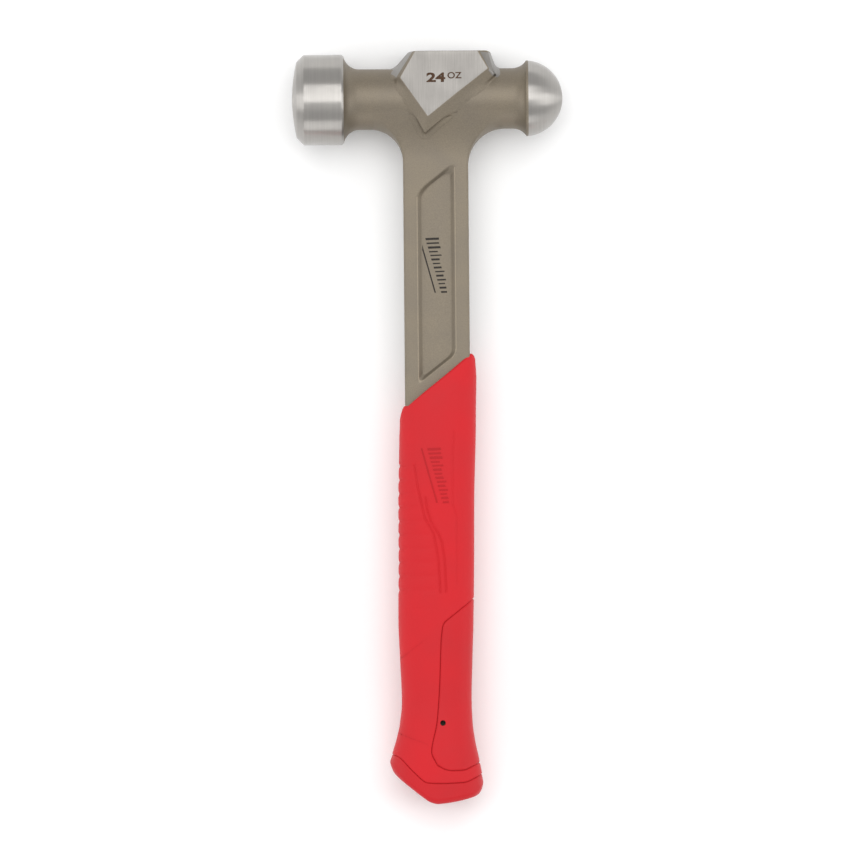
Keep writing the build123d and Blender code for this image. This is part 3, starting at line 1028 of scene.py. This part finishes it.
def core_shell(sizes):
    """The stiff body: at the grip's own surface inside the panel's outline, with a
    rounded edge, and under the soft skin everywhere else."""
    rows = row_set(
        [
            (0, np.linspace(0.2, 0.97, 12), 0.0),
            (1, 0.0, SEAM_OFFSETS),
            (1, np.linspace(0, 1, 120)[2:-2], 0.0),
            (2, 0.0, SEAM_OFFSETS),
            (2, np.linspace(0.3, 1, 5), 0.0),
        ]
    )
    surface = grip_surface(rows, grip_columns())
    inside = inside_window(surface[0], surface[1])
    hidden = (SHANK_GAP + 0.05) * smooth_step(-inside / 0.08)
    depth = np.maximum(round_over(inside, sizes.seam_round), hidden)
    return shell(close_ends(sink(surface, depth)))


def cap_shell(sizes):
    """Butt cap: rings from the seam to the butt's outline, then a rounded edge, then
    the end face drawn in to the mid plane along the outline."""
    radius = sizes.seam_round
    angle = np.linspace(0, math.pi, 90)[None, :]
    reach, rise = squircle(angle)
    x = np.zeros_like(reach)
    for _ in range(9):
        centre, half, thick = grip_size(cap_line(x))
        x = centre + half * reach
    seam_x, seam_y, seam_z = x, cap_line(x), thick * rise
    end_x = CAP_CENTRE + CAP_HALF * reach
    end_z = CAP_THICK * rise
    nx, nz = squircle_normal(reach, rise, CAP_HALF, CAP_THICK)
    phi = np.linspace(0, math.pi / 2, 7)[:, None]
    drop, down = radius * (1 - np.cos(phi[::-1])), radius * (1 - np.sin(phi[::-1]))
    top = np.stack([seam_x - nx * drop, seam_y - down, seam_z - nz * drop], -1)
    start = np.stack([seam_x, seam_y - radius, seam_z], -1)
    end = np.stack([end_x, across(BUTT_LINE, end_x) + BUTT_EDGE, end_z], -1)
    side = blend(start, end, np.linspace(0, 1, 26)[1:, None, None])
    drop, down = BUTT_EDGE * (1 - np.cos(phi[1:])), BUTT_EDGE * (1 - np.sin(phi[1:]))
    rim_x = end_x - nx * drop
    rim = np.stack([rim_x, across(BUTT_LINE, rim_x) + down, end_z - nz * drop], -1)
    q = np.linspace(1, 0, 10)[1:, None, None]
    lid = rim[-1:] * np.concatenate([np.ones(q.shape), np.ones(q.shape), q], -1)
    sunk = top[:1] - CAP_SUNK * np.stack([nx, np.zeros_like(nx), nz], -1)
    return shell(both_faces(np.concatenate([sunk * (1, 1, 0), sunk, top, side, rim, lid])))


# ---------------------------------------------------------------- pin hole and marks

PIN = (1.1, -269.5)
PIN_RADIUS = 1.2
POCKET_MARK_Y = -71.9
GRIP_MARK_Y = -162.7
# The mark's plain strokes: width, and both ends measured from its centre line.
STROKES = [
    (1.0, -2.4, 3.4), (0.7, -2.4, 3.0), (1.0, -2.2, 3.2), (0.6, -2.2, 1.6), (0.6, -2.0, 2.8),
    (0.9, -2.0, 1.6), (0.6, -1.8, 1.4), (0.9, -1.8, 1.6), (0.6, -1.6, 2.4), (0.9, -1.6, 1.6),
    (0.7, -1.6, 2.2), (0.6, -1.4, 1.4), (0.9, -1.4, 1.6), (0.8, -1.2, 1.4),
]
STROKE_LEAN = 0.2


def finished_mesh(item):
    """The mesh of an object with its modifiers or its text worked out."""
    bpy.context.view_layer.update()
    depsgraph = bpy.context.evaluated_depsgraph_get()
    return bpy.data.meshes.new_from_object(item.evaluated_get(depsgraph))


def drill(piece, colours):
    """Takes the pin hole out of a piece: a straight cylinder through both faces, whose
    wall is painted shade: the core's red darkened to 0.3."""
    rim = arc(PIN, PIN_RADIUS, 0, 360, 33)[:-1]
    grid = np.empty((4, len(rim), 3))
    grid[..., :2] = rim
    grid[0, :, :2] = grid[3, :, :2] = PIN
    grid[..., 2] = np.array([-20.0, -20.0, 20.0, 20.0])[:, None]
    points, quads, _ = shell(grid)
    mesh = bpy.data.meshes.new("pin_hole_cutter")
    mesh.from_pydata((points + FORGING_ZERO) / 1000, [], quads.tolist())
    # The hole's wall is painted shade: the core's red darkened to 0.3.
    mesh.materials.append(matt_mark("shaded_hole_wall", shade(colours.core, 0.3)[:3], 0.8))
    tidy_mesh(mesh, 50)
    cutter = link_object("pin_hole_cutter", mesh)
    cut = piece.modifiers.new("pin_hole", "BOOLEAN")
    cut.operation, cut.solver, cut.material_mode = "DIFFERENCE", "EXACT", "TRANSFER"
    cut.object = cutter
    drilled = finished_mesh(piece)
    piece.modifiers.clear()
    piece.data = drilled
    bpy.data.objects.remove(cutter)
    drilled.set_sharp_from_angle(angle=math.radians(50))


def surface_height(x, y):
    """Height of the grip's nominal surface over a point of the mid plane."""
    centre, half, thick = grip_size(y)
    share = np.clip(np.abs(x - centre) / half, 0, 1)
    return thick * (1 - share**ROUNDNESS) ** (1 / ROUNDNESS)


def bar_shell(corners, height, low, high, face):
    """A thin raised bar: a patch blended between four corners, one copy low and one
    high, joined round the edge, with the top drawn in a little all round."""
    a, b, c, d = np.asarray(corners, float)
    u = np.linspace(0, 1, 7)[None, :, None]
    v = np.linspace(0, 1, 13)[:, None, None]
    plan = blend(blend(a, b, u), blend(d, c, u), v)
    small = plan.mean((0, 1)) + (plan - plan.mean((0, 1))) * 0.97
    layers = []
    for outline, lift in ((plan, low), (small, high)):
        x, y = outline[..., 0], outline[..., 1]
        layers.append(np.stack([x, y, face * (height(x, y) + lift)], -1).reshape(-1, 3))
    rows, columns = plan.shape[:2]
    base = rows * columns
    flat = grid_quads(rows, columns, False, False)
    index = np.arange(base).reshape(rows, columns)
    rim = np.concatenate([index[0], index[1:, -1], index[-1, ::-1][1:], index[::-1, 0][1:-1]])
    after = np.roll(rim, -1)
    wall = np.stack([rim, after, after + base, rim + base], -1)
    quads = np.concatenate([flat, flat + base, wall])
    return np.concatenate(layers), quads, np.zeros(len(quads), int)


def slanted_bars(centre, along_deg, spacing, bars):
    """Corners of upright strokes stood side by side along a line: bars is a list of
    (width, low end, high end) in millimetres from the line."""
    angle = math.radians(along_deg)
    run = np.array([math.cos(angle), math.sin(angle)])
    rise = np.array([-math.sin(angle), math.cos(angle)])
    at = -(sum(width for width, _, _ in bars) + spacing * (len(bars) - 1)) / 2
    sets = []
    for width, low, high in bars:
        ends = [(at, low), (at + width, low), (at + width, high), (at, high)]
        sets.append([centre + run * (a + STROKE_LEAN * up) + rise * up for a, up in ends])
        at += width + spacing
    return sets


def generic_mark(y):
    """The plain mark: upright strokes of falling length, and a long line beside them."""
    strokes = slanted_bars(np.array([0.4, y]), -77.0, 1.05, STROKES)
    return strokes + slanted_bars(np.array([-3.9, y]), -74.5, 0.0, [(25.0, -0.3, 0.3)])


def weight_text(material, name, words, size, bold, widen, centre, lift, face):
    """Words laid flat on a cheek pad, as a thin mesh: emboldened, then widened about
    their middle."""
    curve = bpy.data.curves.new(name, "FONT")
    curve.body, curve.size, curve.offset, curve.extrude = words, size, bold, 0.03
    curve.align_x = curve.align_y = "CENTER"
    text = link_object(name + "_draft", curve)
    mesh = finished_mesh(text)
    bpy.data.objects.remove(text)
    points = np.zeros(3 * len(mesh.vertices), np.float32)
    mesh.vertices.foreach_get("co", points)
    points = points.reshape(-1, 3).astype(float)
    points[:, 0] = centre[0] + face * widen * points[:, 0]
    points[:, 1] += centre[1]
    points[:, 2] = face * (lift + points[:, 2])
    points = (points + FORGING_ZERO) / 1000
    mesh.vertices.foreach_set("co", points.astype(np.float32).ravel())
    mesh.name = name
    mesh.materials.clear()
    mesh.materials.append(material)
    tidy_mesh(mesh, 30)
    settle(link_object(name, mesh))


# ---------------------------------------------------------------- operators


class HAMMER_OT_forging(bpy.types.Operator):
    """Builds the head, shank and tang"""

    bl_idname = "hammer.forging"
    bl_label = "Forged hammer"

    def execute(self, context):
        sizes, colours = hammer_settings(context.scene)
        neck, thick = sizes.neck_radius, sizes.shank_half_thick
        shells = [
            head_shell(sizes.poll_radius, neck, sizes.ball_radius),
            block_shell(neck, thick, sizes.pad_half),
            shank_shell(neck, sizes.shank_half_width, thick, sizes.pocket_depth),
        ]
        finishes = [
            champagne_coat("champagne_metallic_powder_coat", colours, 1.0),
            turned_steel(colours),
            ground_steel(colours),
            # A lighter copy of the coat, 1.45 times as bright, paints a highlight along the pocket's
            # rims.
            champagne_coat("painted_highlight_powder_coat", colours, 1.45),
        ]
        make_piece("hammer_forging", shells, finishes, ["forged_hammer"], 32)
        return {"FINISHED"}


class HAMMER_OT_marks(bpy.types.Operator):
    """Adds the printed mark in each pocket and the weight on each cheek"""

    bl_idname = "hammer.marks"
    bl_label = "Marks"

    def execute(self, context):
        sizes, colours = hammer_settings(context.scene)
        floor_z = sizes.shank_half_thick - sizes.pocket_depth

        def pocket_floor(x, y):
            return np.full_like(x, floor_z)

        shells = [
            bar_shell(corners, pocket_floor, -0.05, 0.04, face)
            for face in (1, -1)
            for corners in generic_mark(POCKET_MARK_Y)
        ]
        ink = matt_mark("screen_print_ink", tuple(colours.print_ink), 0.5)
        make_piece("pocket_mark", shells, [ink])
        etch = matt_mark("etched_oxide", tuple(colours.etch), 0.6)
        lift = sizes.pad_half
        for face, side in ((1, "_upper"), (-1, "_lower")):
            weight_text(etch, "weight_figure" + side, "24", 5.4, 0.2, 1.5, (0.4, 8.9), lift, face)
            weight_text(etch, "weight_unit" + side, "OZ", 3.8, 0.07, 1.1, (8.4, 9.8), lift, face)
        return {"FINISHED"}


class HAMMER_OT_overmould(bpy.types.Operator):
    """Builds the soft skin of the grip with its raised mark"""

    bl_idname = "hammer.overmould"
    bl_label = "Grip overmould"

    def execute(self, context):
        sizes, colours = hammer_settings(context.scene)
        red = tuple(colours.overmould)
        # The mark's strokes take the red darkened to 0.78, a painted shade of their relief.
        painted_shade_red = tuple(0.78 * c for c in red)
        skin = moulded_red("moulded_red_elastomer", red, 0.62, 0.5, 0.02, 0.03)
        mark_painted_shade = moulded_red("painted_shade_red_elastomer", painted_shade_red, 0.7, 0.5, 0.01, 0.0)
        shells = [overmould_shell(sizes)]
        piece = make_piece("grip_skin", shells, [skin], ["grip_overmould"], 50)
        drill(piece, colours)
        bars = [
            bar_shell(corners, surface_height, -0.5, 0.15, face)
            for face in (1, -1)
            for corners in generic_mark(GRIP_MARK_Y)
        ]
        make_piece("grip_mark", bars, [mark_painted_shade])
        return {"FINISHED"}


class HAMMER_OT_core(bpy.types.Operator):
    """Builds the stiff body with its palm panel"""

    bl_idname = "hammer.core"
    bl_label = "Grip core"

    def execute(self, context):
        sizes, colours = hammer_settings(context.scene)
        body = moulded_red("moulded_red_nylon", tuple(colours.core), 0.55, 0.35, 0.012, 0.02)
        piece = make_piece("grip_body", [core_shell(sizes)], [body], ["grip_core"], 50)
        drill(piece, colours)
        return {"FINISHED"}


class HAMMER_OT_cap(bpy.types.Operator):
    """Builds the cap that closes the butt"""

    bl_idname = "hammer.cap"
    bl_label = "Butt cap"

    def execute(self, context):
        sizes, colours = hammer_settings(context.scene)
        red = moulded_red("moulded_red_nylon_cap", tuple(colours.cap), 0.55, 0.35, 0.012, 0.02)
        make_piece("butt_end", [cap_shell(sizes)], [red], ["butt_cap"], 50)
        return {"FINISHED"}


class HAMMER_OT_isolator(bpy.types.Operator):
    """Gives the soft layer round the tang its finish"""

    bl_idname = "hammer.isolator"
    bl_label = "Tang isolator"

    def execute(self, context):
        # Butyl rubber, moulded on the tang: near black and dull, with a talc bloom.
        black = tuple(context.scene.hammer_colours.isolator)
        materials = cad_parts["tang_isolator"].data.materials
        materials.clear()
        materials.append(matt_mark("moulded_butyl_rubber", black, 0.75))
        return {"FINISHED"}


class HAMMER_OT_stage(bpy.types.Operator):
    """Adds the floor, the lights and the camera"""

    bl_idname = "hammer.stage"
    bl_label = "Stage"

    def execute(self, context):
        make_floor(context.scene.hammer_colours)
        make_lights()
        make_camera()
        return {"FINISHED"}


class HAMMER_PT_panel(bpy.types.Panel):
    """The hammer's pieces, sizes and colours"""

    bl_idname = "HAMMER_PT_panel"
    bl_label = "Ball peen hammer"
    bl_space_type = "VIEW_3D"
    bl_region_type = "UI"
    bl_category = "Hammer"

    def draw(self, context):
        for step in STEPS:
            self.layout.operator(step.bl_idname)
        for group in (context.scene.hammer_sizes, context.scene.hammer_colours):
            for name in group.__annotations__:
                self.layout.prop(group, name)


STEPS = (
    HAMMER_OT_forging,
    HAMMER_OT_marks,
    HAMMER_OT_overmould,
    HAMMER_OT_core,
    HAMMER_OT_cap,
    HAMMER_OT_isolator,
    HAMMER_OT_stage,
)
CLASSES = (HammerSizes, HammerColours) + STEPS + (HAMMER_PT_panel,)


# ---------------------------------------------------------------- stage


def make_floor(colours):
    """A large level plane at height zero, which the poll touches."""
    size = 3.0
    mesh = bpy.data.meshes.new("floor")
    corners = [(-size, -size, 0.0), (size, -size, 0.0), (size, size, 0.0), (-size, size, 0.0)]
    mesh.from_pydata(corners, [], [(0, 1, 2, 3)])
    mesh.materials.append(pale_floor(colours))
    link_object("floor", mesh)


def softbox(name, place, target, width, depth, power):
    """A large area light that faces a point."""
    light = bpy.data.lights.new(name, "AREA")
    light.shape = "RECTANGLE"
    light.size = width
    light.size_y = depth
    light.energy = power
    lamp = link_object(name, light)
    lamp.location = place
    lamp.visible_camera = False
    x, y, z = (float(to - start) for to, start in zip(target, place))
    side = math.hypot(x, y)
    turn = math.atan2(-x, y) if side > 0 else 0.0
    lamp.rotation_euler = (math.atan2(side, -z), 0.0, turn)


def make_lights():
    """Soft studio light: an overhead softbox towards the head's top, a lower one from
    the butt's side, one at each side, and an even surround."""
    world = bpy.data.worlds.new("studio_surround")
    bpy.context.scene.world = world
    world.use_nodes = True
    background = world.node_tree.nodes["Background"]
    background.inputs["Color"].default_value = (1.0, 1.0, 1.0, 1.0)
    background.inputs["Strength"].default_value = 0.72
    head = (0.0, 0.142, 0.02)
    softbox("overhead_softbox", (0.0, 0.91, 2.2), (0.0, 0.91, 0.0), 2.2, 2.0, 29.0)
    softbox("butt_softbox", (0.0, -1.9, 0.75), head, 1.6, 1.1, 6.6)
    softbox("left_softbox", (-2.0, 0.0, 1.0), (0, 0, 0), 1.2, 1.8, 12.0)
    softbox("right_softbox", (2.0, 0.0, 1.0), (0, 0, 0), 1.2, 1.8, 12.0)


CAMERA_HEIGHT = 8.0
VIEW_HALF = 0.18455  # half of what the camera sees at the forging's mid plane


def make_camera():
    """A long lens straight above the hammer, turned half a degree."""
    data = bpy.data.cameras.new("studio_camera")
    data.sensor_width = 36.0
    data.angle = 2 * math.atan(VIEW_HALF / CAMERA_HEIGHT)
    data.clip_end = 100.0
    camera = link_object("studio_camera", data)
    camera.location = (-0.00135, 0.00025, CAMERA_HEIGHT + FORGING_ZERO[2] / 1000)
    camera.rotation_euler = (0.0, 0.0, -0.0087)
    bpy.context.scene.camera = camera


def register():
    for item in CLASSES:
        bpy.utils.register_class(item)
    bpy.types.Scene.hammer_sizes = bpy.props.PointerProperty(type=HammerSizes)
    bpy.types.Scene.hammer_colours = bpy.props.PointerProperty(type=HammerColours)


def unregister():
    del bpy.types.Scene.hammer_sizes
    del bpy.types.Scene.hammer_colours
    for item in reversed(CLASSES):
        bpy.utils.unregister_class(item)


def main():
    """Registers the add-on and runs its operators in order."""
    register()
    bpy.context.scene.view_settings.view_transform = "Standard"
    bpy.ops.hammer.forging()
    bpy.ops.hammer.marks()
    bpy.ops.hammer.overmould()
    bpy.ops.hammer.core()
    bpy.ops.hammer.cap()
    bpy.ops.hammer.isolator()
    bpy.ops.hammer.stage()


if __name__ == "__main__":
    main()
